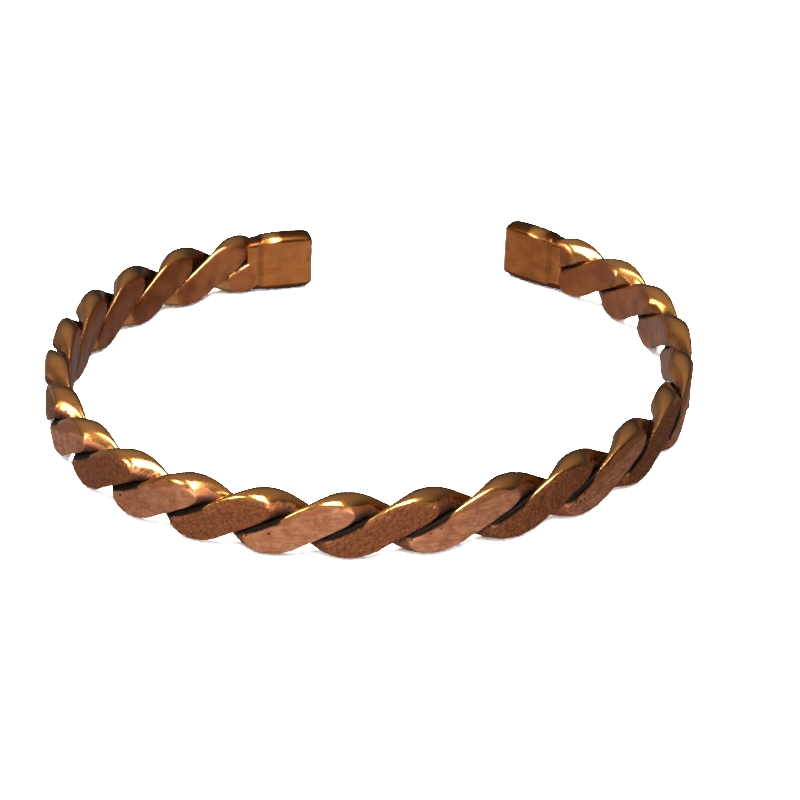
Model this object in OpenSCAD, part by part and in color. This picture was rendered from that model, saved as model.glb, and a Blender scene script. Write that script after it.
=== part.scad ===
// Open cuff bracelet of two thick copper wires twisted into a rope, bent round the wrist,
// pressed flat outside and inside, and finished with a flattened cap at each end.
// It lies on its side: the rope's centre line lies in a plane parallel to the ground, the front of the
// cuff faces -Y and the gap faces +Y.

/* [Wires] */
// Radius of one round wire
wire_r = 1.5; // [1.4:0.01:1.55]
// Width of a wire across the twist, as a share of its round width
wire_spread = 1.2; // [1:0.01:1.25]
// Where the textured wire stands at the front, in degrees from facing outward
twist_start = 224; // [0:1:359]
// Clearance between the two wires at the core of the rope
core_gap = 0.08; // [0.06:0.01:0.12]

/* [Press] */
// Thickness of the rope between its pressed outer and inner faces
pressed_t = 2.6; // [1.8:0.1:4]

/* [Plan] */
// Length of rope from the front to the left end cap
rope_left = 75.6; // [70:0.1:78]
// Length of rope from the front to the right end cap
rope_right = 79.8; // [70:0.1:79.9]

/* [End caps] */
// Length of an end cap
cap_l = 5.6; // [4.5:0.1:6.5]
// Height of an end cap
cap_h = 6.7; // [6:0.1:7.5]
// Thickness of an end cap between its flat faces
cap_t = 2.2; // [1.8:0.1:2.4]
// Radius of the crowned top and bottom of an end cap
cap_crown_r = 1.25; // [1.2:0.05:2.5]
// Radius of the corners at the free end
cap_corner_r = 0.9; // [0.4:0.1:1.5]
// Height of a cap's inner face over the rope's inner face
cap_proud = 0.1; // [0:0.05:0.3]
// Seam between a cap and the rope
cap_seam = 0.08; // [0.05:0.01:0.2]

/* [Hidden] */

// The rope's form at places along it, measured from the front and running left to right:
// the bend radius of its centre line, and the length in which a wire goes once round.
// The left side is an even arc with an even twist. The front bends tightly on the left and is nearly
// flat on the right, where the twist is loosest, and the right side closes in again to its end.
ALONG = 0;
RADIUS = 1;
PITCH = 2;
FORM = [
    [-80, 28, 13.5], // left end
    [-36, 28, 13.5], // left side
    [-12, 25, 13.5], // front, on the left
    [12, 38, 15.5], // front, on the right
    [36, 34, 16.5], // right side, at the front
    [56, 29, 15], // right side
    [80, 25, 13], // right end
];
curvature = [for (f = FORM) [f[ALONG], 1 / f[RADIUS]]];
twist_rate = [for (f = FORM) [f[ALONG], 360 / f[PITCH]]];

// Rings along a wire for each turn of the twist, and points on each round stretch of a ring
rings_per_turn = 16;
round_points = 7;
// Least half angle between those stretches
least_angle = 6;
// The last stretch at each end over which a ring turns square to the rope
square_off = 2.5;
// Facets on a cap's rounded edges
cap_facets = 48;

rope_half_t = pressed_t / 2;
helix_r = wire_r + core_gap / 2;
line_step = 0.5;
line_start = FORM[0][ALONG];
line_steps = (FORM[len(FORM) - 1][ALONG] - line_start) / line_step;

// The centre line walked in short straight steps. Each place reached is [x, y, heading, twist],
// with both angles in degrees.
function heading_change(s) = line_step * lookup(s, curvature) * 180 / PI;
function twist_change(s) = line_step * lookup(s, twist_rate);
walked = [
    for (
        i = 0, s = line_start, x = 0, y = 0, h = 0, w = 0;
        i <= line_steps;
        turn = heading_change(s + line_step / 2),
        x = x + line_step * cos(h + turn / 2),
        y = y + line_step * sin(h + turn / 2),
        h = h + turn,
        w = w + twist_change(s + line_step / 2),
        s = s + line_step,
        i = i + 1
    ) [x, y, h, w]
];
function walked_at(s) =
    let (
        u = max(0, min(line_steps - 1e-6, (s - line_start) / line_step)),
        i = floor(u)
    ) walked[i] * (1 - u + i) + walked[i + 1] * (u - i);

// The same line turned and moved so that its front lies at the origin and heads along +X
HEADING = 2;
TWIST = 3;
front = walked_at(0);
function centre_at(s) =
    let (
        p = walked_at(s),
        dx = p.x - front.x,
        dy = p.y - front.y
    ) [
        dx * cos(front[HEADING]) + dy * sin(front[HEADING]),
        dy * cos(front[HEADING]) - dx * sin(front[HEADING]),
        p[HEADING] - front[HEADING]
    ];
function twist_at(s) = walked_at(s)[TWIST] - front[TWIST];

// A point of the straight rope, [along, outward, up], carried to its place on the bent one
function bent(p) =
    let (c = centre_at(p.x))
    [c.x + p.y * sin(c[HEADING]), c.y - p.y * cos(c[HEADING]), p.z];

function clamped(v, limit) = max(-limit, min(limit, v));

// Half of the angle that a pressed face takes from the ring round a wire. The ring reaches out by reach
// from its middle, and the face lies at depth from there. Where the press misses the wire, a sliver stays.
function pressed_angle(depth, reach) = max(least_angle, acos(clamped(depth / reach, 1)));

// One ring of points round a wire, square to the helix that the wire follows. The pressed faces cut the
// ring outside and inside, and the points share out the two round stretches left between them.
function ring(s, angle, square) =
    let (
        a = angle + twist_at(s),
        slope = helix_r * lookup(s, twist_rate) * PI / 180,
        outward = [0, cos(a), sin(a)],
        helix = [1, -slope * sin(a), slope * cos(a)] / norm([1, slope]),
        core = helix_r * outward,
        radial = wire_r * outward,
        lateral = wire_r * wire_spread * cross(helix, outward),
        reach = norm([radial.y, lateral.y]),
        facing = atan2(lateral.y, radial.y),
        outer = pressed_angle(rope_half_t - core.y, reach),
        inner = pressed_angle(rope_half_t + core.y, reach),
        first_round = [facing + outer, facing + 180 - inner],
        second_round = [facing + 180 + inner, facing + 360 - outer]
    ) [
        for (stretch = [first_round, second_round], j = [0:round_points - 1])
            let (
                b = stretch[0] + (stretch[1] - stretch[0]) * j / (round_points - 1),
                p = core + cos(b) * radial + sin(b) * lateral
            ) bent([s + p.x * square, p.y, p.z])
    ];

function wire_points(angle) =
    let (
        rope_l = rope_left + rope_right,
        turns = (twist_at(rope_right) - twist_at(-rope_left)) / 360,
        rings = ceil(turns * rings_per_turn)
    ) [
        for (i = [0:rings])
            let (
                s = -rope_left + rope_l * i / rings,
                to_end = min(s + rope_left, rope_right - s)
            ) ring(s, angle, min(1, to_end / square_off))
    ];

// A solid through a list of rings, with a flat face on the first and on the last
module tube(rings) {
    n = len(rings[0]);
    last = len(rings) - 1;
    sides = [
        for (i = [0:last - 1], j = [0:n - 1])
            let (
                k = (j + 1) % n,
                a = i * n + j,
                b = i * n + k,
                c = (i + 1) * n + k,
                d = (i + 1) * n + j
            )
            each [[a, d, c], [a, c, b]]
    ];
    start_face = [for (j = [0:n - 1]) j];
    end_face = [for (j = [n - 1:-1:0]) last * n + j];
    polyhedron(points = [for (r = rings) each r], faces = concat(sides, [start_face, end_face]));
}

function lowest(points, i) = min([for (p = points) p[i]]);
function highest(points, i) = max([for (p = points) p[i]]);

// A cap goes straight on from the end of the rope, and its inner face stands a little proud
function cap_point(side, rope_end, along, across) =
    let (
        end = centre_at(side * rope_end),
        ahead = side * (cap_seam + along),
        inward = rope_half_t + cap_proud - cap_t / 2 + across
    ) [
        end.x + ahead * cos(end[HEADING]) - inward * sin(end[HEADING]),
        end.y + ahead * sin(end[HEADING]) + inward * cos(end[HEADING]),
        -cap_h / 2
    ];
function cap_corners(side, rope_end) = [
    for (along = [0, cap_l], across = [-cap_t / 2, cap_t / 2]) cap_point(side, rope_end, along, across)
];

textured_rings = wire_points(twist_start);
smooth_rings = wire_points(twist_start + 180);
all_points = concat(
    [for (r = concat(textured_rings, smooth_rings)) each r],
    cap_corners(-1, rope_left),
    cap_corners(1, rope_right)
);
middle = [
    (lowest(all_points, 0) + highest(all_points, 0)) / 2,
    (lowest(all_points, 1) + highest(all_points, 1)) / 2,
    lowest(all_points, 2)
];

// The bracelet's origin is the middle of its box, on the ground
module placed() {
    translate(-middle) children();
}

module wire_textured() {
    color([0.56, 0.33, 0.24]) placed() tube(textured_rings);
}

module wire_smooth() {
    color([0.68, 0.42, 0.32]) placed() tube(smooth_rings);
}

// A cap's outline seen along the rope: flat inside and outside, crowned at the top and the bottom
module cap_section() {
    crown_z = cap_h / 2 - cap_crown_r;
    intersection() {
        square([cap_t, cap_h], center = true);
        union() {
            square([cap_t, 2 * crown_z], center = true);
            for (side = [-1, 1]) translate([0, side * crown_z]) circle(r = cap_crown_r, $fn = cap_facets);
        }
    }
}

// A cap's outline seen from inside the cuff: square at the rope, with round corners at its free end
module cap_face() {
    corner = [cap_l - cap_corner_r, cap_h / 2 - cap_corner_r];
    translate([0, -cap_h / 2]) square([corner.x, cap_h]);
    translate([0, -corner.y]) square([cap_l, 2 * corner.y]);
    for (side = [-1, 1]) translate([corner.x, side * corner.y]) circle(r = cap_corner_r, $fn = cap_facets);
}

module end_cap(side, rope_end) {
    placed() translate([0, 0, cap_h / 2] + cap_point(side, rope_end, 0, 0))
        rotate(centre_at(side * rope_end)[HEADING]) mirror([side < 0 ? 1 : 0, 0, 0])
            intersection() {
                rotate([90, 0, 90]) linear_extrude(cap_l) cap_section();
                rotate([90, 0, 0]) translate([0, 0, -cap_t]) linear_extrude(2 * cap_t) cap_face();
            }
}

module end_cap_left() {
    color([0.62, 0.38, 0.24]) end_cap(-1, rope_left);
}

module end_cap_right() {
    color([0.62, 0.38, 0.24]) end_cap(1, rope_right);
}

wire_textured();
wire_smooth();
end_cap_left();
end_cap_right();
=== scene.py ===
# Copper cuff bracelet of two twisted wires, pressed flat outside and inside, with a flat cap at each end.
# Lengths are in millimetres and are turned into metres where a mesh, a lamp or the camera is made.
# A pair of numbers says where a smooth step begins and where it ends, unless its comment says otherwise.
import math

import bpy
import numpy as np
from mathutils import Matrix, Vector


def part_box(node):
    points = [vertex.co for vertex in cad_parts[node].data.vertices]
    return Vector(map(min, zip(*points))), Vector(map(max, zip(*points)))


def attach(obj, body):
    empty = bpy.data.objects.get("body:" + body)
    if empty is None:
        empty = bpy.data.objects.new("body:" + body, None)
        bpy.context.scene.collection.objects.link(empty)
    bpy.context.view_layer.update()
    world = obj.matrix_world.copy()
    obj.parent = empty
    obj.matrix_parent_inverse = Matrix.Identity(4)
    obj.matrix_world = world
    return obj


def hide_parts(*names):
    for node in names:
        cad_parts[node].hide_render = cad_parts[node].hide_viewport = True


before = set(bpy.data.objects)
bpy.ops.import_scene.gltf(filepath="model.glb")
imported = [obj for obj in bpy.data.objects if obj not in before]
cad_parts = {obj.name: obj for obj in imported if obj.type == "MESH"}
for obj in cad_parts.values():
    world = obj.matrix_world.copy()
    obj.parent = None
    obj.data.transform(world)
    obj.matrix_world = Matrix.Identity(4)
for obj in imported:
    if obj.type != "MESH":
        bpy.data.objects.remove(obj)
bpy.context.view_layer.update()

MM = 0.001

# The rope's form, as in the CAD source: places along it from the front, the bend radius of its centre
# line there, and the length in which a wire goes once round
FORM = np.array([
    (-80, 28, 13.5),  # left end
    (-36, 28, 13.5),  # left side
    (-12, 25, 13.5),  # front, on the left
    (12, 38, 15.5),  # front, on the right
    (36, 34, 16.5),  # right side, at the front
    (56, 29, 15),  # right side
    (80, 25, 13),  # right end
])
ALONG, RADIUS, PITCH = FORM.T
LINE_STEP = 0.5
ROPE_LEFT = 75.6
ROPE_RIGHT = 79.8

# One wire, and the planes between which the rope is pressed. Here each wire sinks a little into the core of
# the rope, so that the two touch.
WIRE_R = 1.56
WIRE_SPREAD = 1.13
CORE_SINK = 0.01
HELIX_R = WIRE_R - CORE_SINK
TWIST_START = math.radians(224)
HALF_T = 1.3
# The last stretch at each end over which a ring turns square to the rope
SQUARE_OFF = 2.5
# How much straighter than a helix a wire runs across the pressed faces, and how much faster it turns
# between them
STRAIGHTER = 0.1
# A wire's section square to the rope is about this much wider than the wire
SECTION_STRETCH = 1.18

# Rounding of the edges that the press made, and of the upper and inner ones, which are rubbed into a shoulder
EDGE_ROUND = 0.07
SHOULDER_ROUND = 0.8
# Where the shoulders begin and are full: both by height over the middle of the wire, and the inner one also
# by how far the round wire stands past the inner plane
UPPER_SHOULDER = (0.1, 0.8)
INNER_SHOULDER = (-1.4, -0.4)
INNER_PAST = (-1.3, -0.4)

# The brushed or pebbled finish ends this high over the middle of the wire, and lower away from the front
FINISH_TOP = 0.8
FINISH_DROP = 0.4
DROP_ALONG = (12, 36)
# Where it fades: by depth under the outer face, by height past its upper end, by how far out it lies from
# the middle of the wire as a share of half the wire's width, and by how far out it lies from the middle of
# the rope
FACE_FADE = (0.16, 0.05)
TOP_FADE = (0.12, -0.12)
SIDE_FADE = (0.2, 0.45)
MIDDLE_FADE = (-0.4, -0.1)
# How far its border wanders on each wire, the size of those waves, and the share of them that shows on the
# pressed face
TEXTURED_RAGGED = 0.08
TEXTURED_RAGGED_SIZE = 0.55
SMOOTH_RAGGED = 0.05
SMOOTH_RAGGED_SIZE = 1.5
RAGGED_ON_FACE = 0.4
# Pebbles on the textured wire: their width, how far they are squeezed along and up, how deep and wide the
# crevices between them are, how much their tops differ, and how far they wander in long and short waves
PEBBLE = 0.5
PEBBLE_SQUEEZE = (0.85, 1.1)
PEBBLE_DEPTH = 0.055
CREVICE_WIDTH = 0.2
PEBBLE_UNEVEN = 0.2
PEBBLE_WARP = 0.16
PEBBLE_WARP_SIZE = 0.9
PEBBLE_FINE_WARP = 0.06
PEBBLE_FINE_SIZE = 0.35
# Pits in the smooth wire's faces: how far apart their places lie, the share of places that have one, its
# depth, its slope by distance from its middle, and how far its rim wanders
PIT_SPACING = 0.5
PIT_SHARE = 0.45
PIT_DEPTH = 0.08
PIT_SLOPE = (0.2, 0.05)
PIT_WARP = 0.05
PIT_WARP_SIZE = 0.3
# They lie where a face comes out of its groove: by height of the wire's middle over the rope's, and by
# their own height over the wire's middle
PIT_LEVEL = (-0.7, -1.0)
PIT_RISE = (-0.3, 0.2)
# Unevenness of every pressed face: its depth, the size of its waves, and where it fades under the face
FACE_WAVE = 0.02
FACE_WAVE_SIZE = 2.2
FACE_WAVE_FADE = (0.3, 0.0)

# The end caps. Their free ends stand a little further out here than in the CAD.
CAP_L = 5.6
CAP_TIP = {-1: 0.1, 1: 0.25}
CAP_H = 6.7
CAP_T = 2.2
CAP_CROWN_R = 1.25
CAP_CORNER_R = 0.9
# Height of a cap's inner face over the rope's inner face, and the seam between a cap and the rope
CAP_PROUD = 0.1
CAP_SEAM = 0.08
# A collar on each cap reaches this far over the ends of the wires. Past a step at the seam it is lower and
# thinner than the cap, and it slopes further down, and by a share of that inward, towards the wires. Its
# lower side is drawn in by a share of what its upper side is.
CAP_LAP = 1.5
COLLAR_STEP = (0.1, -0.2)
COLLAR_DROP = 0.16
COLLAR_SLOPE = 0.3
COLLAR_IN = 0.05
COLLAR_SLOPE_IN = 0.3
COLLAR_BELOW = 0.25
# How much further each cap turns inward than the rope's end does
CAP_TURN = {-1: math.radians(5), 1: 0.0}
# The flat spot on the crown that catches the light: its angle, how far along it lies, half its length, its
# depth, and the rounding of its edge
SPOT_ANGLE = math.radians(40)
SPOT_ALONG = {-1: 1.15, 1: 1.8}
SPOT_HALF = 0.7
SPOT_DEPTH = 0.09
SPOT_EDGE = 0.15
# Rounding of a cap's edges at the rope, at its free end and along its crowns, how much lower the crown is at
# its ends than in its middle, and the unevenness of the flat faces
CAP_ROPE_EDGE = 0.3
CAP_FREE_EDGE = 0.45
CAP_CROWN_EDGE = 0.06
CAP_DOME = 0.18
CAP_WAVE = 0.01
CAP_WAVE_SIZE = 3.0

# The mesh of a wire: its rings, the points on a ring while it is worked on and at the end, and how much
# closer together these lie on the outer face, by how far the round wire stands past the outer plane
RINGS = 1600
DENSE_POINTS = 384
RING_POINTS = 60
FLAT_SHARE = 2.2
FLAT_PAST = (-0.15, 0.1)
# The mesh of a cap: a box of cells, larger than the cap by a margin, is drawn in onto the cap's surface,
# which is found by halving the way from a core. The core stays this far inside the cap's ends and crowns, and
# the last number is half its thickness.
CAP_CELL = 0.085
SHELL_MARGIN = 1.0
HALVINGS = 26
CORE_FROM_ROPE = 0.9
CORE_FROM_TIP = 1.3
CORE_FROM_CROWN = 1.4
CORE_HALF_T = 0.15
# Waves added up for an unevenness, and the sizes between which they lie as shares of the size asked for
WAVE_COUNT = 9
WAVE_STRETCH = (0.7, 1.5)
# Cells after which scattered points repeat, and how far a point stays from its cell's border, in cells
SCATTER_REPEAT = 64
SCATTER_MARGIN = 0.1


# The centre line

def walk_line():
    """The centre line in short straight steps: station, x, y, heading and twist, from the front."""
    steps = round((ALONG[-1] - ALONG[0]) / LINE_STEP)
    middles = ALONG[0] + LINE_STEP * (np.arange(steps) + 0.5)
    turn = LINE_STEP * np.interp(middles, ALONG, 1 / RADIUS)
    station = ALONG[0] + LINE_STEP * np.arange(steps + 1)
    heading = np.concatenate([[0], np.cumsum(turn)])
    course = heading[:-1] + turn / 2
    x = np.concatenate([[0], np.cumsum(LINE_STEP * np.cos(course))])
    y = np.concatenate([[0], np.cumsum(LINE_STEP * np.sin(course))])
    twist = np.concatenate([[0], np.cumsum(LINE_STEP * np.interp(middles, ALONG, 2 * np.pi / PITCH))])
    front = np.searchsorted(station, 0)
    dx, dy, h = x - x[front], y - y[front], heading[front]
    return (
        station,
        dx * np.cos(h) + dy * np.sin(h),
        dy * np.cos(h) - dx * np.sin(h),
        heading - h,
        twist - twist[front],
    )


STATION, LINE_X, LINE_Y, HEADING, TWIST = walk_line()


def line_at(s):
    """Place and heading of the centre line at s."""
    return np.interp(s, STATION, LINE_X), np.interp(s, STATION, LINE_Y), np.interp(s, STATION, HEADING)


def wire_angle(s, phase):
    """Where a wire stands round the rope, from the outward side, and the slope at which it climbs round."""
    a = phase + np.interp(s, STATION, TWIST)
    rate = np.interp(s, ALONG, 2 * np.pi / PITCH) * (1 - STRAIGHTER * np.cos(2 * a))
    return a - STRAIGHTER / 2 * np.sin(2 * a), HELIX_R * rate


def cap_frame(side):
    """Where a cap starts: the middle of its end, and its directions along and inward."""
    x, y, heading = line_at(side * (ROPE_RIGHT if side > 0 else ROPE_LEFT))
    ahead = np.array([np.cos(heading), np.sin(heading), 0]) * side
    inward = np.array([-np.sin(heading), np.cos(heading), 0])
    middle = HALF_T + CAP_PROUD - CAP_T / 2
    return np.array([x, y, 0]) + ahead * CAP_SEAM + inward * middle, ahead, inward


def find_origin():
    """The row frame's origin seen from the front of the centre line, from the left cap's box in the CAD."""
    start, ahead, inward = cap_frame(-1)
    corners = [start + a * CAP_L * ahead + w * CAP_T / 2 * inward for a in (0, 1) for w in (-1, 1)]
    low = np.min(corners, axis=0)
    cad_low = np.array(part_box("end_cap_left")[0]) / MM
    return np.array([low[0] - cad_low[0], low[1] - cad_low[1], -CAP_H / 2 - cad_low[2]])


ORIGIN = find_origin()


def bent(points):
    """Points of the straight rope, [along, outward, up], carried to their places on the bent one."""
    x, y, heading = line_at(points[..., 0])
    out = points[..., 1]
    placed = np.stack([x + out * np.sin(heading), y - out * np.cos(heading), points[..., 2]], axis=-1)
    return placed - ORIGIN


# Unevenness

def smoothstep(low, high, value):
    """0 where value is at low or before it, 1 at high or past it, and a smooth step between."""
    t = np.clip((value - low) / (high - low), 0, 1)
    return t * t * (3 - 2 * t)


def waves(u, v, size, seed):
    """Smooth unevenness between about -1 and 1, with features of the given size."""
    draw = np.random.default_rng(seed)
    total = np.zeros_like(u)
    for _ in range(WAVE_COUNT):
        way, start = draw.uniform(0, 2 * np.pi, 2)
        stretch = draw.uniform(*WAVE_STRETCH)
        total += np.sin((u * np.cos(way) + v * np.sin(way)) * 2 * np.pi / (size * stretch) + start)
    return total / np.sqrt(WAVE_COUNT)


def scattered(u, v, spacing, seed):
    """Distance to the nearest and second nearest of points scattered about spacing apart, and a random
    number from 0 to 1 for the nearest one."""
    draw = np.random.default_rng(seed)
    table = draw.uniform(0, 1, (SCATTER_REPEAT, SCATTER_REPEAT, 3))
    room = 1 - 2 * SCATTER_MARGIN
    x, y = u / spacing, v / spacing
    nearest, second = np.full(u.shape, np.inf), np.full(u.shape, np.inf)
    lot = np.zeros(u.shape)
    for i in (-1, 0, 1):
        for j in (-1, 0, 1):
            cx, cy = np.floor(x).astype(int) + i, np.floor(y).astype(int) + j
            chance = table[cx % SCATTER_REPEAT, cy % SCATTER_REPEAT]
            away = np.hypot(
                cx + SCATTER_MARGIN + room * chance[..., 0] - x,
                cy + SCATTER_MARGIN + room * chance[..., 1] - y,
            )
            closer = away < nearest
            second = np.where(closer, nearest, np.minimum(second, away))
            lot = np.where(closer, chance[..., 2], lot)
            nearest = np.where(closer, away, nearest)
    return nearest * spacing, second * spacing, lot


def pebbles(u, v):
    """Height of the pebbled finish from 0 in its crevices to 1 on the highest pebbles."""
    wide_u = u + PEBBLE_WARP * waves(u, v, PEBBLE_WARP_SIZE, seed=11)
    wide_u = wide_u + PEBBLE_FINE_WARP * waves(u, v, PEBBLE_FINE_SIZE, seed=12)
    wide_v = v + PEBBLE_WARP * waves(u, v, PEBBLE_WARP_SIZE, seed=13)
    wide_v = wide_v + PEBBLE_FINE_WARP * waves(u, v, PEBBLE_FINE_SIZE, seed=14)
    along, up = PEBBLE_SQUEEZE
    nearest, second, lot = scattered(wide_u * along, wide_v * up, PEBBLE, seed=15)
    return smoothstep(0, CREVICE_WIDTH, second - nearest) * (1 - PEBBLE_UNEVEN + PEBBLE_UNEVEN * lot)


def pits(u, v):
    """Depth from 0 to 1 of the few pits."""
    wide_u = u + PIT_WARP * waves(u, v, PIT_WARP_SIZE, seed=21)
    wide_v = v + PIT_WARP * waves(u, v, PIT_WARP_SIZE, seed=22)
    nearest, _, lot = scattered(wide_u, wide_v, PIT_SPACING, seed=23)
    return smoothstep(*PIT_SLOPE, nearest) * (lot < PIT_SHARE)


# Wires

def round_rings(s, phase, b):
    """Rings of a round wire, square to its helix, as [along, outward, up]. b is the angle round the wire
    from the side that faces away from the core."""
    a, slope = (value[:, None] for value in wire_angle(s, phase))
    size = np.hypot(1, slope)
    zero = np.zeros_like(a)
    outward = np.stack([zero, np.cos(a), np.sin(a)], axis=-1)
    helix = np.stack([1 / size, -slope * np.sin(a) / size, slope * np.cos(a) / size], axis=-1)
    lateral = np.cross(helix, outward)
    cos, sin = np.cos(b)[None, :, None], np.sin(b)[None, :, None]
    return HELIX_R * outward + WIRE_R * cos * outward + WIRE_R * WIRE_SPREAD * sin * lateral


def resampled(rings, values, where):
    """Rings and the values on them, taken at the given shares of each ring's way round."""
    shape = rings.shape[0], where.shape[1]
    new_rings = np.empty(shape + (3,))
    new_values = {name: np.empty(shape) for name in values}
    for i, ring in enumerate(rings):
        closed = np.vstack([ring, ring[:1]])
        way = np.concatenate([[0], np.cumsum(np.linalg.norm(np.diff(closed, axis=0), axis=1))])
        at = where[i] * way[-1]
        for k in range(3):
            new_rings[i, :, k] = np.interp(at, way, closed[:, k])
        for name, value in values.items():
            row = value[i]
            new_values[name][i] = np.interp(at, way, np.append(row, row[0]))
    return new_rings, new_values


def rounded(rings, radius):
    """Each ring with its edges rounded: evenly spaced rings, smoothed by a bell curve as wide as radius."""
    count = rings.shape[1]
    way = np.linalg.norm(rings - np.roll(rings, 1, axis=1), axis=2).sum(axis=1)
    wave = np.fft.rfftfreq(count, 1 / count)[None, :] * 2 * np.pi / way[:, None]
    keep = np.exp(-0.5 * (wave * radius) ** 2)[..., None]
    return np.fft.irfft(np.fft.rfft(rings, axis=1) * keep, n=count, axis=1)


def nearness(s, rings, phase):
    """Distance of each point from the surface of the other wire, and how far up that wire lies."""
    along = s[:, None] + rings[..., 0]
    a, slope = wire_angle(along, phase + np.pi)
    across = WIRE_R * WIRE_SPREAD * np.hypot(1, slope)
    out = rings[..., 1] - HELIX_R * np.cos(a)
    up = rings[..., 2] - HELIX_R * np.sin(a)
    radial = (out * np.cos(a) + up * np.sin(a)) / WIRE_R
    lateral = (up * np.cos(a) - out * np.sin(a)) / across
    return (np.hypot(radial, lateral) - 1) * WIRE_R, -up


def wire_surface(phase, textured):
    """Rings of a pressed wire and what its material needs to know about each point."""
    s = np.linspace(-ROPE_LEFT, ROPE_RIGHT, RINGS)
    b = np.pi + 2 * np.pi * np.arange(DENSE_POINTS) / DENSE_POINTS
    raw = round_rings(s, phase, b)
    near, above = nearness(s, raw, phase)
    a = wire_angle(s, phase)[0][:, None]
    middle_up = HELIX_R * np.sin(a)
    values = {
        "press_outer": raw[..., 1] - HALF_T,
        "press_inner": -raw[..., 1] - HALF_T,
        "near": near,
        "above": above,
        "rise": raw[..., 2] - middle_up,
        "reach": raw[..., 1] - HELIX_R * np.cos(a),
    }
    rings = raw.copy()
    rings[..., 1] = np.clip(raw[..., 1], -HALF_T, HALF_T)
    even = np.tile(np.arange(DENSE_POINTS) / DENSE_POINTS, (RINGS, 1))
    rings, values = resampled(rings, values, even)
    rise = values["rise"]
    inner = smoothstep(*INNER_SHOULDER, rise) * smoothstep(*INNER_PAST, values["press_inner"])
    shoulder = np.maximum(smoothstep(*UPPER_SHOULDER, rise), inner)
    sharp = rounded(rings, EDGE_ROUND)
    soft = rounded(rings, SHOULDER_ROUND)
    # The smoothed ring is drawn up again to the height that it had
    sharp_rise, soft_rise = sharp[..., 2] - middle_up, soft[..., 2] - middle_up
    had, has = sharp_rise.max(axis=1, keepdims=True), soft_rise.max(axis=1, keepdims=True)
    soft[..., 2] = middle_up + soft_rise * had / has
    rings = sharp + (soft - sharp) * shoulder[..., None]
    density = 1 + (FLAT_SHARE - 1) * smoothstep(*FLAT_PAST, values["press_outer"])
    total = np.cumsum(density, axis=1)
    share = (total - total[:, :1]) / (total[:, -1:] - total[:, :1] + density[:, :1])
    steps = np.arange(RING_POINTS) / RING_POINTS
    where = np.stack([np.interp(steps, row, even[0]) for row in share])
    rings, values = resampled(rings, values, where)
    rings, values = finished(s, rings, values, textured)
    square = np.clip(np.minimum(s + ROPE_LEFT, ROPE_RIGHT - s) / SQUARE_OFF, 0, 1)
    rings[..., 0] = s[:, None] + rings[..., 0] * square[:, None]
    return rings, values


def finished(s, rings, values, textured):
    """Rings with their finish cut into the outer face, and the values that the materials are mixed by."""
    along = s[:, None] + rings[..., 0]
    out, up = rings[..., 1], rings[..., 2]
    rise = values["rise"]
    level = up - rise
    outer_depth, inner_depth = HALF_T - out, HALF_T + out
    if textured:
        ragged = TEXTURED_RAGGED * waves(along, up, TEXTURED_RAGGED_SIZE, seed=31)
    else:
        ragged = SMOOTH_RAGGED * waves(along, up, SMOOTH_RAGGED_SIZE, seed=32)
    face = smoothstep(*FACE_FADE, outer_depth + RAGGED_ON_FACE * ragged)
    side = values["reach"] / (WIRE_R * WIRE_SPREAD * SECTION_STRETCH)
    over = rise - FINISH_TOP + FINISH_DROP * smoothstep(*DROP_ALONG, np.abs(along))
    tip = smoothstep(*TOP_FADE, over + ragged)
    tip = tip * smoothstep(*SIDE_FADE, side) * smoothstep(*MIDDLE_FADE, out)
    worked = np.maximum(face, tip)
    uneven = FACE_WAVE * (1 + waves(along, up, FACE_WAVE_SIZE, seed=33))
    dent = uneven * smoothstep(*FACE_WAVE_FADE, np.minimum(outer_depth, inner_depth))
    if textured:
        mark = 1 - pebbles(along, up)
        dent = dent + worked * PEBBLE_DEPTH * mark
    else:
        lower_end = smoothstep(*PIT_LEVEL, level) * smoothstep(*PIT_RISE, rise)
        mark = pits(along, up) * lower_end
        dent = dent + worked * PIT_DEPTH * mark
    cut = rings.copy()
    cut[..., 1] -= np.sign(out) * dent
    values = {
        "outer_depth": outer_depth,
        "inner_depth": inner_depth,
        "near": values["near"],
        "above": values["above"],
        "rise": rise,
        "over": over,
        "level": level,
        "worked": worked,
        "mark": mark,
    }
    return cut, values


def linked(name, data):
    """A new object in the scene."""
    made = bpy.data.objects.new(name, data)
    bpy.context.scene.collection.objects.link(made)
    return made


def smooth_piece(name, places, faces, values):
    """A smooth-shaded mesh in the scene, with values on its points for the materials to read."""
    mesh = bpy.data.meshes.new(name)
    mesh.from_pydata((places * MM).tolist(), [], faces)
    mesh.update()
    mesh.shade_smooth()
    for key, value in values.items():
        flat = np.ascontiguousarray(value, dtype=np.float32).ravel()
        if value.ndim == 2:
            mesh.attributes.new(key, "FLOAT_VECTOR", "POINT").data.foreach_set("vector", flat)
        else:
            mesh.attributes.new(key, "FLOAT", "POINT").data.foreach_set("value", flat)
    return linked(name, mesh)


def wire(name, phase, textured):
    """A wire: a closed mesh through its rings, with a flat face at each end."""
    rings, values = wire_surface(phase, textured)
    values = {key: value.ravel() for key, value in values.items()}
    values["rope"] = rings.reshape(-1, 3)
    index = np.arange(RINGS * RING_POINTS).reshape(RINGS, RING_POINTS)
    a, d = index[:-1], index[1:]
    b, c = np.roll(a, -1, axis=1), np.roll(d, -1, axis=1)
    faces = np.stack([a, d, c, b], axis=-1).reshape(-1, 4).tolist()
    faces.append(index[0].tolist())
    faces.append(index[-1][::-1].tolist())
    return smooth_piece(name, bent(rings).reshape(-1, 3), faces, values)


# End caps

def soft_max(a, b, radius):
    """The larger of two distances, with the edge between them rounded by about radius."""
    inside = np.maximum(radius - np.abs(a - b), 0)
    return np.maximum(a, b) + inside * inside / (4 * radius)


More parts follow.
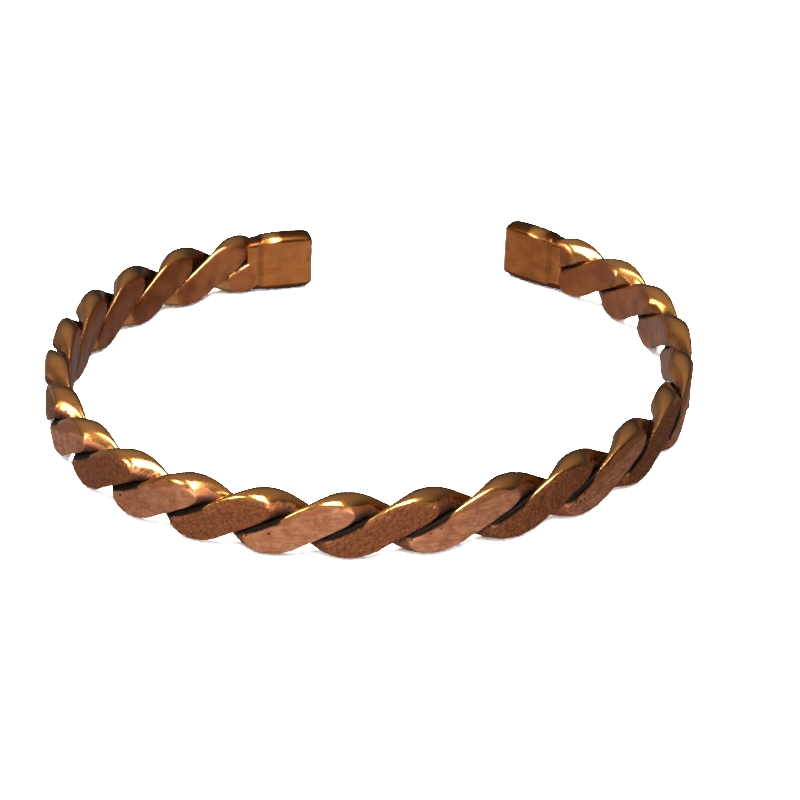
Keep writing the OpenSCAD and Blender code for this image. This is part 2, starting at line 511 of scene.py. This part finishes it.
def cap_distance(along, across, up, tip, spot_along):
    """Signed distance from a cap's surface: the crowned section cut by the outline with its round corners."""
    middle = CAP_L / 2
    collar = smoothstep(*COLLAR_STEP, along)
    slope = COLLAR_SLOPE * np.maximum(-along / CAP_LAP, 0) ** 2
    height = np.abs(up) + CAP_DOME * ((np.maximum(along, 0) - middle) / middle) ** 2
    height = height + (COLLAR_DROP * collar + slope) * np.where(up > 0, 1.0, COLLAR_BELOW)
    across = across + CAP_WAVE * waves(along, up, CAP_WAVE_SIZE, seed=41)
    crown = height - (CAP_H / 2 - CAP_CROWN_R)
    round_top = np.hypot(across, np.maximum(crown, 0)) - CAP_CROWN_R
    flat = np.abs(across) - CAP_T / 2 + COLLAR_IN * collar + COLLAR_SLOPE_IN * slope
    section = soft_max(flat, round_top, CAP_CROWN_EDGE)
    full = (CAP_H / 2 - CAP_CROWN_R) * np.sin(SPOT_ANGLE) + CAP_CROWN_R
    spot = across * np.cos(SPOT_ANGLE) + height * np.sin(SPOT_ANGLE) - full
    spot = spot + SPOT_DEPTH * (1 - ((along - spot_along) / SPOT_HALF) ** 2)
    section = soft_max(section, np.where(up > 0, spot, -CAP_H), SPOT_EDGE)
    past_corner = np.maximum(along - (CAP_L + tip - CAP_CORNER_R), 0)
    over_corner = np.maximum(height - (CAP_H / 2 - CAP_CORNER_R), 0)
    corner = np.hypot(past_corner, over_corner) - CAP_CORNER_R
    ends = soft_max(section, -along - CAP_LAP, CAP_ROPE_EDGE)
    return soft_max(ends, corner, CAP_FREE_EDGE)


def lattice(sizes):
    """The surface of a box of cells: its points as whole numbers, and its faces, which face outward."""
    corners, faces = {}, []
    for axis in range(3):
        b, c = (axis + 1) % 3, (axis + 2) % 3
        for end in (0, sizes[axis]):
            for i in range(sizes[b]):
                for j in range(sizes[c]):
                    quad = []
                    for di, dj in ((0, 0), (1, 0), (1, 1), (0, 1)):
                        key = [0, 0, 0]
                        key[axis], key[b], key[c] = end, i + di, j + dj
                        quad.append(corners.setdefault(tuple(key), len(corners)))
                    faces.append(quad if end else quad[::-1])
    return np.array(list(corners), dtype=float), faces


def end_cap(name, side):
    """A cap: the box of cells round it, drawn in onto its surface."""
    tip = CAP_TIP[side]
    box = np.array([CAP_L + tip + CAP_LAP, CAP_T, CAP_H])
    sizes = [round(length / CAP_CELL) for length in box]
    places, faces = lattice(sizes)
    shell = (places / sizes - 0.5) * (box + SHELL_MARGIN)
    shell[:, 0] += (CAP_L + tip - CAP_LAP) / 2
    core_low = np.array([CORE_FROM_ROPE, -CORE_HALF_T, -CAP_H / 2 + CORE_FROM_CROWN])
    core_high = np.array([CAP_L - CORE_FROM_TIP, CORE_HALF_T, CAP_H / 2 - CORE_FROM_CROWN])
    core = np.clip(shell, core_low, core_high)
    low, high = np.zeros(len(shell)), np.ones(len(shell))
    for _ in range(HALVINGS):
        share = (low + high) / 2
        at = core + (shell - core) * share[:, None]
        inside = cap_distance(*at.T, tip, SPOT_ALONG[side]) < 0
        low, high = np.where(inside, share, low), np.where(inside, high, share)
    start, ahead, inward = cap_frame(side)
    up = np.array([0, 0, 1])
    if np.dot(np.cross(ahead, inward), up) < 0:
        faces = [face[::-1] for face in faces]
    turn = CAP_TURN[side]
    along = at[:, :1] * np.cos(turn) - at[:, 1:2] * np.sin(turn)
    across = at[:, :1] * np.sin(turn) + at[:, 1:2] * np.cos(turn)
    placed = start + along * ahead + across * inward + at[:, 2:] * up - ORIGIN
    from_spot = np.abs(at[:, 0] - SPOT_ALONG[side])
    return smooth_piece(name, placed, faces, {"cap": at, "from_spot": from_spot})


# Materials

class Graph:
    """The nodes of a material or of the world, and short ways to add to them. An input is a number, a colour
    or another node's output."""

    def __init__(self, owner):
        owner.use_nodes = True
        self.owner = owner
        self.tree = owner.node_tree
        self.tree.nodes.clear()

    def made(self, kind, inputs, settings=None):
        """A new node."""
        new = self.tree.nodes.new(kind)
        for key, value in (settings or {}).items():
            setattr(new, key, value)
        for key, value in inputs.items():
            if isinstance(value, bpy.types.NodeSocket):
                self.tree.links.new(value, new.inputs[key])
            else:
                new.inputs[key].default_value = value
        return new

    def node(self, kind, inputs, settings=None, output=0):
        """An output of a new node."""
        return self.made(kind, inputs, settings).outputs[output]

    def value(self, name):
        return self.node("ShaderNodeAttribute", {}, {"attribute_name": name}, "Fac")

    def vector(self, name):
        return self.node("ShaderNodeAttribute", {}, {"attribute_name": name}, "Vector")

    def parts(self, vector):
        return self.made("ShaderNodeSeparateXYZ", {0: vector}).outputs

    def stretched(self, vector, scale, turn=(0, 0, 0)):
        inputs = {"Vector": vector, "Scale": scale, "Rotation": turn}
        return self.node("ShaderNodeMapping", inputs, {"vector_type": "POINT"})

    def noise(self, vector, scale, detail=2.0, roughness=0.5):
        inputs = {"Vector": vector, "Scale": scale, "Detail": detail, "Roughness": roughness}
        return self.node("ShaderNodeTexNoise", inputs)

    def ramp(self, value, low, high, first=0.0, last=1.0):
        """first where value is at low or before it, last at high or past it, and a smooth step between."""
        inputs = {"Value": value, "From Min": low, "From Max": high, "To Min": first, "To Max": last}
        return self.node("ShaderNodeMapRange", inputs, {"interpolation_type": "SMOOTHSTEP"})

    def math(self, operation, a, b=0.0):
        return self.node("ShaderNodeMath", {0: a, 1: b}, {"operation": operation})

    def times(self, a, b):
        return self.math("MULTIPLY", a, b)

    def plus(self, a, b):
        return self.math("ADD", a, b)

    def without(self, a):
        """The share that is left of 1."""
        return self.math("SUBTRACT", 1.0, a)

    def mixed(self, amount, a, b):
        """Colour a where amount is 0, and b where it is 1."""
        inputs = {"Factor": amount, 6: a, 7: b}
        return self.node("ShaderNodeMix", inputs, {"data_type": "RGBA"}, 2)

    def blended(self, amount, a, b):
        """Number a where amount is 0, and b where it is 1."""
        inputs = {"Factor": amount, 2: a, 3: b}
        return self.node("ShaderNodeMix", inputs, {"data_type": "FLOAT"})

    def joined(self, amount, a, b):
        """Vector a where amount is 0, and b where it is 1."""
        inputs = {"Factor": amount, 4: a, 5: b}
        return self.node("ShaderNodeMix", inputs, {"data_type": "VECTOR"}, 1)

    def bump(self, height, depth, strength=1.0, normal=None):
        inputs = {"Height": height, "Distance": depth * MM, "Strength": strength}
        if normal:
            inputs["Normal"] = normal
        return self.node("ShaderNodeBump", inputs)

    def finish(self, shader, inputs, output="ShaderNodeOutputMaterial"):
        self.made(output, {"Surface": self.node(shader, inputs)})
        return self.owner


GOLDEN = (0.69, 0.275, 0.06, 1)
# Tarnish in blotches, and painted shade on the flank towards the wrist
GOLDEN_DARK = (0.28, 0.105, 0.032, 1)
SALMON = (0.70, 0.295, 0.15, 1)
SALMON_LIGHT = (0.88, 0.46, 0.31, 1)
SALMON_DARK = (0.45, 0.165, 0.075, 1)
PINK_BROWN = (0.27, 0.09, 0.033, 1)
PINK_LIGHT = (0.37, 0.127, 0.049, 1)
CREVICE = (0.17, 0.055, 0.025, 1)
PIT = (0.10, 0.03, 0.012, 1)
# Painted shade where the finish rounds away from the pressed face
BAND_SHADE_BROWN = (0.30, 0.10, 0.04, 1)
SATIN_BROWN = (0.57, 0.175, 0.047, 1)
SATIN_DARK = (0.42, 0.12, 0.032, 1)
# Painted shade round the grooves
GROOVE_SHADE_BROWN = (0.11, 0.052, 0.028, 1)
# The inner grooves' patina with painted shade, and the caps' dark seam
GROOVE_BROWN = (0.05, 0.018, 0.008, 1)
# The grooves' patina with painted shade, near black
PATINA_AND_SHADE = (0.012, 0.008, 0.006, 1)
CAP_BROWN = (0.55, 0.18, 0.045, 1)
CAP_LIGHT = (0.61, 0.222, 0.066, 1)
CAP_DARK = (0.40, 0.12, 0.026, 1)
# Painted shade on the caps' crowns
CROWN_PAINTED_SHADE = (0.12, 0.038, 0.008, 1)
# Painted light on the caps' free ends
CAP_END_PAINTED_LIGHT = (0.95, 0.68, 0.58, 1)

# Noise crowds round its middle, and this stretch of it is spread out
SPAN = (0.3, 0.7)
# How far noise moves the borders of the finish, of the patina with its painted shade and of the seam
WANDER = (-0.15, 0.15)
PATINA_AND_SHADE_WANDER = (-0.1, 0.1)
SEAM_WANDER = (0.02, 0.1)
# How far the brushing and a cap's smudges lean
BRUSH_TURN = math.radians(-38)
SMUDGE_TURN = 0.5

# Roughness of each surface. Two numbers are its roughness at the low and at the high end of what varies it.
POLISHED_ROUGHNESS = (0.19, 0.23)
SATIN_ROUGHNESS = 0.38
PEBBLE_ROUGHNESS = (0.42, 0.6)
BRUSHED_ROUGHNESS = (0.42, 0.5)
BAND_ROUGHER = 0.12
GROOVE_ROUGHNESS = 0.65
CAP_ROUGHNESS = (0.34, 0.42)
CROWN_ROUGHNESS = (0.36, 0.25)
# Clear coat, which gives the polished parts their hard highlights
WIRE_COAT = 0.55
WIRE_COAT_ROUGHNESS = 0.14
CAP_COAT = 0.2
SPOT_COAT = 0.4
CAP_COAT_ROUGHNESS = 0.12
# Depth of the bumps, and how much of the satin's shows on the polished rounds
BLOTCH_BUMP = 0.02
SATIN_BUMP = 0.008
PEBBLE_BUMP = 0.03
BRUSHED_BUMP = 0.012
CAP_BUMP = 0.006
SATIN_ON_ROUNDS = 0.15

# The flank that is darkened with painted shade towards the wrist, and the inner face, by depth under the
# inner face
FLANK_SHADE = (1.2, 0.3)
INNER_FACE = (0.02, 0.3)
# The browner band of painted shade where the finish rounds away from the pressed face, by depth under the
# outer face, and on the smooth wire also by height past the finish's end, and how much of it there is at most
BAND = (0.05, 0.2)
BAND_OVER = (-0.15, 0.1)
BAND_OVER_MOST = 0.85
BAND_MOST = 0.9
# Where a groove begins, by depth under the nearer face
GROOVE_DEPTH = (0.015, 0.1)
# Distance from the other wire to which the patina and painted shade are full and at which they end: on top,
# and beneath that wire, where the painted shade reaches further. Lying beneath goes by how far over the place
# that wire's middle is.
PATINA_AND_SHADE_FULL = (0.12, 0.45)
PATINA_AND_SHADE_END = (0.45, 0.95)
BENEATH = (-0.4, 0.4)
# Painted shade on the shoulder below the other wire, in the patina's colour: by distance from the other wire
# and by height over this wire's middle. The distance counts for more as the wire climbs and towards the right
# side.
SHOULDER_SHADE = (1.1, 1.9)
SHOULDER_RISE = (0.2, 0.5)
CLIMB_MORE = 1.5
RIGHT_SIDE = (10, 32)
RIGHT_MORE = 0.9
# Painted shade round a groove: how dark it is, and how it fades with distance from the other wire
GROOVE_SHADE = 0.85
GROOVE_SHADE_FADE = (0.3, 1.4)
# The step from the outer to the inner side of the rope, by depth under the outer face, and the shares of
# lying beneath and of painted shade round a groove that are left on the inner side
TO_INSIDE = (HALF_T - 0.3, HALF_T + 0.3)
INSIDE_BENEATH = 0.35
INSIDE_GROOVE_SHADE = 0.4

# A cap's crown, by height. The collar's begins lower, by this much past this step at the seam.
CROWN_FROM = CAP_H / 2 - CAP_CROWN_R
CROWN_UP = (CROWN_FROM + 0.25, CROWN_FROM + 0.5)
COLLAR_LOWER = 0.3
COLLAR_ALONG = (0.1, -0.6)
# The painted highlight on the upper crown, by distance from the flat spot
SPOT_FADE = (0.2, 1.3)
UPPER_SIDE = (0.0, 1.0)
# The seam's darkness and how it fades with distance, and how far before the free end the painted light begins
# that covers the whole end face
SEAM_DARK = 0.4
SEAM_FADE = (0.05, 0.5)
PAINTED_LIGHT_END = 0.25


def textured_finish(g, rope, wander, mark):
    """The pebbled finish: its colour, grain, depth of grain and roughness."""
    sunk = g.ramp(g.plus(mark, wander), 0.15, 0.6)
    colour = g.mixed(sunk, PINK_LIGHT, PINK_BROWN)
    colour = g.mixed(g.ramp(mark, 0.6, 0.95), colour, CREVICE)
    grain = g.noise(rope, scale=7.0, detail=4.0, roughness=0.65)
    return colour, grain, PEBBLE_BUMP, g.ramp(mark, 0.2, 0.9, *PEBBLE_ROUGHNESS)


def smooth_finish(g, rope, mark):
    """The brushed finish: its colour, grain, depth of grain and roughness."""
    across = g.stretched(rope, scale=(0.7, 1.0, 3.6), turn=(0, BRUSH_TURN, 0))
    hatch = g.noise(across, scale=1.0, detail=4.0, roughness=0.65)
    mottle = g.noise(rope, scale=1.1, detail=4.0, roughness=0.7)
    colour = g.mixed(g.ramp(hatch, 0.38, 0.62, last=0.75), SALMON, SALMON_DARK)
    colour = g.mixed(g.ramp(mottle, 0.5, 0.62, last=0.8), colour, SALMON_DARK)
    colour = g.mixed(g.ramp(mottle, 0.45, 0.3, last=0.5), colour, SALMON_LIGHT)
    colour = g.mixed(g.ramp(mark, 0.1, 0.6), colour, PIT)
    return colour, g.plus(hatch, mottle), BRUSHED_BUMP, g.ramp(hatch, *SPAN, *BRUSHED_ROUGHNESS)


def wire_copper(name, textured):
    """The copper of one wire, mixed by the values on its points."""
    g = Graph(bpy.data.materials.new(name))
    rope = g.vector("rope")
    outer_depth, inner_depth = g.value("outer_depth"), g.value("inner_depth")
    mark = g.value("mark")
    blotches = g.noise(rope, scale=0.5, detail=3.0)
    fine = g.noise(rope, scale=3.0)
    wander = g.ramp(fine, *SPAN, *WANDER)
    # Polished rounds, tarnished in blotches, and darkened with painted shade on the flank towards the wrist
    colour = g.mixed(g.ramp(blotches, 0.35, 0.7, last=0.3), GOLDEN, GOLDEN_DARK)
    colour = g.mixed(g.ramp(inner_depth, *FLANK_SHADE, last=0.3), colour, GOLDEN_DARK)
    # Inner faces
    inner = g.ramp(inner_depth, *INNER_FACE, 1.0, 0.0)
    colour = g.mixed(inner, colour, g.mixed(g.ramp(blotches, 0.35, 0.65), SATIN_BROWN, SATIN_DARK))
    # The outer faces' finish, browner with painted shade outside the pressed face, where it rounds away
    worked = g.ramp(g.plus(g.value("worked"), wander), *SPAN)
    band = g.ramp(outer_depth, *BAND)
    if textured:
        finish, grain, grain_depth, worked_roughness = textured_finish(g, rope, wander, mark)
        brown = g.mixed(g.ramp(mark, 0.5, 0.9), BAND_SHADE_BROWN, CREVICE)
    else:
        finish, grain, grain_depth, worked_roughness = smooth_finish(g, rope, mark)
        brown = BAND_SHADE_BROWN
        over = g.plus(g.value("over"), g.ramp(blotches, *SPAN, *WANDER))
        band = g.plus(band, g.ramp(over, *BAND_OVER, last=BAND_OVER_MOST))
    band = g.math("MINIMUM", band, BAND_MOST)
    finish = g.mixed(band, finish, brown)
    colour = g.mixed(worked, colour, finish)
    # Patina with painted shade in the grooves, painted shade further out beneath the other wire, and painted
    # shade round it
    deep = g.ramp(g.math("MINIMUM", outer_depth, inner_depth), *GROOVE_DEPTH)
    near = g.plus(g.value("near"), g.ramp(fine, *SPAN, *PATINA_AND_SHADE_WANDER))
    inside = g.ramp(outer_depth, *TO_INSIDE)
    outside = g.without(inside)
    beneath = g.times(g.ramp(g.value("above"), *BENEATH), g.blended(outside, INSIDE_BENEATH, 1.0))
    close = g.ramp(near, g.blended(beneath, *PATINA_AND_SHADE_FULL), g.blended(beneath, *PATINA_AND_SHADE_END), 1.0, 0.0)
    # On the shoulder this painted shade reaches the flat face while the wire lies low, and narrows as the
    # wire climbs and towards the right side
    along = g.parts(rope)[0]
    climbing = g.plus(near, g.times(g.value("level"), CLIMB_MORE))
    climbing = g.plus(climbing, g.ramp(along, *RIGHT_SIDE, last=RIGHT_MORE))
    low = g.ramp(climbing, *SHOULDER_SHADE, 1.0, 0.0)
    low = g.times(low, g.ramp(g.value("rise"), *SHOULDER_RISE))
    groove = g.times(g.math("MAXIMUM", close, g.times(low, outside)), deep)
    # Painted shade round the groove, weaker on the inner side
    groove_shade = g.times(g.ramp(near, *GROOVE_SHADE_FADE, GROOVE_SHADE, 0.0), deep)
    groove_shade = g.times(groove_shade, g.blended(outside, INSIDE_GROOVE_SHADE, 1.0))
    colour = g.mixed(groove_shade, colour, GROOVE_SHADE_BROWN)
    # The grooves take patina with painted shade, near black outside and dark brown inside
    colour = g.mixed(groove, colour, g.mixed(inside, PATINA_AND_SHADE, GROOVE_BROWN))
    # Roughness, bumps and coat
    roughness = g.blended(inner, g.ramp(blotches, *SPAN, *POLISHED_ROUGHNESS), SATIN_ROUGHNESS)
    worked_roughness = g.plus(worked_roughness, g.times(band, BAND_ROUGHER))
    roughness = g.blended(worked, roughness, worked_roughness)
    roughness = g.blended(groove, roughness, GROOVE_ROUGHNESS)
    polish = g.bump(blotches, BLOTCH_BUMP, strength=0.15)
    lines = g.noise(g.stretched(rope, scale=(0.5, 1.0, 3.5)), scale=1.0, detail=3.0, roughness=0.6)
    satin = g.bump(g.times(lines, g.ramp(inner, 0.0, 1.0, first=SATIN_ON_ROUNDS)), SATIN_BUMP, normal=polish)
    rough = g.bump(grain, grain_depth)
    return g.finish("ShaderNodeBsdfPrincipled", {
        "Base Color": colour,
        "Metallic": 1.0,
        "Roughness": roughness,
        "Normal": g.joined(worked, satin, rough),
        "Coat Weight": g.blended(g.math("MAXIMUM", groove, worked), WIRE_COAT, 0.0),
        "Coat Roughness": WIRE_COAT_ROUGHNESS,
    })


def cap_copper():
    """The copper of both caps, mixed by the place on a cap as [along, across, up]."""
    g = Graph(bpy.data.materials.new("cap_copper"))
    cap = g.vector("cap")
    along, _, up = g.parts(cap)
    blotches = g.noise(cap, scale=0.7, detail=3.0)
    fine = g.noise(cap, scale=6.0, detail=3.0, roughness=0.6)
    brushed = g.noise(g.stretched(cap, scale=(0.4, 1.0, 2.5)), scale=1.0, detail=4.0, roughness=0.6)
    smudges = g.noise(g.stretched(cap, scale=(1.0, 1.0, 0.6), turn=(0, SMUDGE_TURN, 0)), scale=0.55)
    colour = g.mixed(g.ramp(blotches, 0.35, 0.65, last=0.6), CAP_BROWN, CAP_LIGHT)
    colour = g.mixed(g.ramp(brushed, *SPAN, last=0.35), colour, CAP_DARK)
    colour = g.mixed(g.ramp(smudges, 0.6, 0.75, last=0.5), colour, CAP_DARK)
    # Crowns darkened with painted shade, but for the upper one round its flat spot, which gets a painted
    # golden highlight. The collar's begins lower.
    height = g.plus(g.math("ABSOLUTE", up), g.ramp(along, *COLLAR_ALONG, last=COLLAR_LOWER))
    crown = g.ramp(height, *CROWN_UP)
    painted_highlight = g.times(g.ramp(g.value("from_spot"), *SPOT_FADE, 1.0, 0.0), g.ramp(up, *UPPER_SIDE))
    colour = g.mixed(crown, colour, g.mixed(painted_highlight, CROWN_PAINTED_SHADE, GOLDEN))
    # A dark seam where the cap meets the collar, and painted light, a pale colour, over the whole free end
    from_seam = g.math("ABSOLUTE", g.plus(along, g.ramp(fine, *SPAN, *SEAM_WANDER)))
    colour = g.mixed(g.ramp(from_seam, *SEAM_FADE, SEAM_DARK, 0.0), colour, GROOVE_BROWN)
    end = g.times(g.ramp(along, CAP_L - PAINTED_LIGHT_END, CAP_L), g.without(crown))
    colour = g.mixed(end, colour, CAP_END_PAINTED_LIGHT)
    crown_roughness = g.ramp(painted_highlight, 0.0, 1.0, *CROWN_ROUGHNESS)
    roughness = g.blended(crown, g.ramp(blotches, *SPAN, *CAP_ROUGHNESS), crown_roughness)
    normal = g.bump(brushed, CAP_BUMP, normal=g.bump(blotches, BLOTCH_BUMP, strength=0.3))
    return g.finish("ShaderNodeBsdfPrincipled", {
        "Base Color": colour,
        "Metallic": 1.0,
        "Roughness": roughness,
        "Normal": normal,
        "Coat Weight": g.blended(crown, CAP_COAT, g.times(painted_highlight, SPOT_COAT)),
        "Coat Roughness": CAP_COAT_ROUGHNESS,
    })


# Stage and camera

FLOOR_HALF = 3000
FLOOR_GREY = (0.93, 0.93, 0.93, 1)
FLOOR_WHITE = (0.95, 0.95, 0.95, 1)
FLOOR_ROUGHNESS = 0.9

# The studio's walls, and broad soft lights: the direction, where they begin and are full as the cosine of the
# angle from it, and how bright they are
WORLD_WALLS = 0.035
WORLD_LOBES = (
    ((0, 0, 1), 0.1, 1.0, 0.32),
    ((0, 0, -1), 0.0, 0.7, 0.11),
    ((-0.9, 0.3, 0.5), 0.2, 1.0, 0.12),
    ((0.1, -0.85, -0.5), 0.3, 0.95, 0.46),
    ((-0.8, 0.4, -0.5), 0.5, 1.0, 0.18),
    ((0.8, 0.4, -0.5), 0.5, 1.0, 0.08),
)

CAMERA_DISTANCE = 256.7
CAMERA_ELEVATION = math.radians(29.01)
CAMERA_ROLL = math.radians(2.369)
CAMERA_CLIP = 10
FOCAL_PIXELS = 2640
FRAME_PIXELS = 800
# The point aimed at, from the front of the centre line
AIM = np.array([6.8, 23.4, 0])


def add_floor():
    side = FLOOR_HALF * MM
    mesh = bpy.data.meshes.new("floor")
    corners = [(-side, -side, 0), (side, -side, 0), (side, side, 0), (-side, side, 0)]
    mesh.from_pydata(corners, [], [(0, 1, 2, 3)])
    floor = linked("floor", mesh)
    g = Graph(bpy.data.materials.new("floor"))
    place = g.node("ShaderNodeTexCoord", {}, output="Object")
    colour = g.mixed(g.noise(place, scale=3.0), FLOOR_GREY, FLOOR_WHITE)
    inputs = {"Base Color": colour, "Roughness": FLOOR_ROUGHNESS}
    mesh.materials.append(g.finish("ShaderNodeBsdfPrincipled", inputs))
    floor.visible_glossy = False


def add_light(name, azimuth, elevation, distance, size, power):
    """A rectangular lamp aimed at the bracelet. Azimuth 0 is the camera's side, and it grows to the right."""
    data = bpy.data.lights.new(name, "AREA")
    data.shape = "RECTANGLE"
    data.size, data.size_y = size[0] * MM, size[1] * MM
    data.energy = power
    a, e = math.radians(azimuth), math.radians(elevation)
    away = Vector((math.sin(a) * math.cos(e), -math.cos(a) * math.cos(e), math.sin(e)))
    lamp = linked(name, data)
    lamp.location = away * distance * MM
    lamp.rotation_mode = "QUATERNION"
    lamp.rotation_quaternion = away.to_track_quat("Z", "Y")
    return lamp


def add_world():
    """A studio: dim walls, a bright ceiling, and the pale floor in front of the bracelet."""
    g = Graph(bpy.data.worlds.new("world"))
    place = g.node("ShaderNodeTexCoord", {}, output="Generated")
    light = WORLD_WALLS
    for direction, begins, full, brightness in WORLD_LOBES:
        inputs = {0: place, 1: Vector(direction).normalized()}
        towards = g.node("ShaderNodeVectorMath", inputs, {"operation": "DOT_PRODUCT"}, "Value")
        light = g.plus(light, g.ramp(towards, begins, full, last=brightness))
    bpy.context.scene.world = g.finish("ShaderNodeBackground", {"Color": light}, "ShaderNodeOutputWorld")


def add_camera():
    data = bpy.data.cameras.new("camera")
    data.lens = data.sensor_width * FOCAL_PIXELS / FRAME_PIXELS
    data.clip_start = CAMERA_CLIP * MM
    camera = linked("camera", data)
    e = CAMERA_ELEVATION
    aim = Vector((AIM - ORIGIN) * MM)
    back = Vector((0, -math.cos(e), math.sin(e)))
    turn = back.to_track_quat("Z", "Y") @ Matrix.Rotation(CAMERA_ROLL, 4, "Z").to_quaternion()
    camera.rotation_mode = "QUATERNION"
    camera.location = aim + back * CAMERA_DISTANCE * MM
    camera.rotation_quaternion = turn
    bpy.context.scene.camera = camera


wires = {
    "wire_textured": wire("textured_wire", TWIST_START, True),
    "wire_smooth": wire("smooth_wire", TWIST_START + np.pi, False),
}
caps = {
    "end_cap_left": end_cap("left_cap", -1),
    "end_cap_right": end_cap("right_cap", 1),
}
for node, piece in (wires | caps).items():
    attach(piece, "root")
    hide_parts(node)
cap_material = cap_copper()
for piece in caps.values():
    piece.data.materials.append(cap_material)

wires["wire_textured"].data.materials.append(wire_copper("textured_copper", True))
wires["wire_smooth"].data.materials.append(wire_copper("smooth_copper", False))

add_floor()
add_world()
add_light("key", azimuth=5, elevation=48, distance=700, size=(330, 560), power=12.5)
add_light("side", azimuth=-50, elevation=22, distance=700, size=(200, 350), power=3.0)
wash = add_light("wash", azimuth=0, elevation=89, distance=1200, size=(1500, 1500), power=650.0)
wash.visible_glossy = False
bpy.context.scene.view_settings.view_transform = "Standard"
add_camera()
